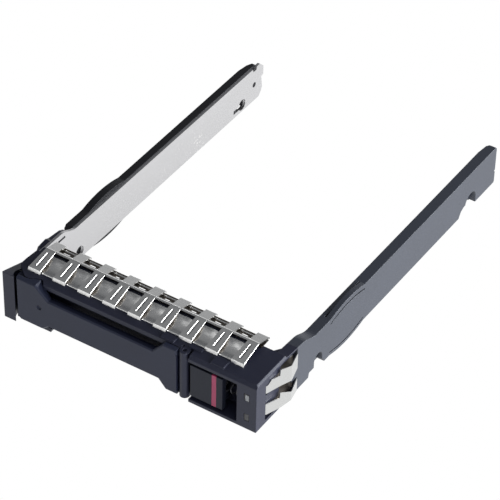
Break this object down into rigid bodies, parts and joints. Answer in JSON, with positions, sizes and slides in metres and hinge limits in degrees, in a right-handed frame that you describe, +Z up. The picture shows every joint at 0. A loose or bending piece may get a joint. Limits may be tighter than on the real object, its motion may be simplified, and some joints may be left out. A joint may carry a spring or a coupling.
{
  "type": "hot swap drive caddy",
  "caption": "Hot swap caddy for a 2.5 inch drive: open frame with rails, spring fingers, a swing-out lever and a sliding release button.",
  "frame": {"origin": "under the middle of the caddy's box, on the plane that the crowns of the lower bow springs touch", "axes": "+X to the right rail as seen from the front, +Y to the rear, into the server, +Z up"},
  "size_m": [0.0772, 0.118, 0.0181],
  "materials": {
    "bezel_plastic": "fine grain",
    "lever_plastic": "fine grain",
    "rail_plastic": "satin",
    "button_plastic": "satin",
    "stripe_plastic": "satin",
    "clear_plastic": "polished",
    "plate_steel": "satin, zinc plated",
    "finger_steel": "bright, rolled",
    "spring_steel": "drawn wire",
    "pin_steel": "ground"
  },
  "bodies": {
    "caddy": {"bezel": "bezel_plastic", "right_rail": "rail_plastic", "left_rail": "rail_plastic", "left_plate": "plate_steel", "top_emi_clip": "finger_steel", "right_emi_clip": "finger_steel", "upper_light_pipe": "clear_plastic", "lower_light_pipe": "clear_plastic", "button_spring": "spring_steel", "lever_spring": "spring_steel"},
    "lever": {"lever": "lever_plastic", "hinge_pin": "pin_steel"},
    "button": {"release_button": "button_plastic", "button_stripe": "stripe_plastic", "button_keeper": "button_plastic"}
  },
  "joints": [
    {"name": "lever_hinge", "type": "hinge", "parent": "caddy", "child": "lever", "pos_m": [-0.03225, -0.0556, 0.00845], "axis": [0, 0, -1], "range_deg": [0, 40], "deforming": ["lever_spring"]},
    {"name": "button_slide", "type": "slide", "parent": "caddy", "child": "button", "axis": [1, 0, 0], "range_m": [0, 0.0035], "stiffness_N_per_m": 300, "springref_m": -0.003, "deforming": ["button_spring"]}
  ]
}
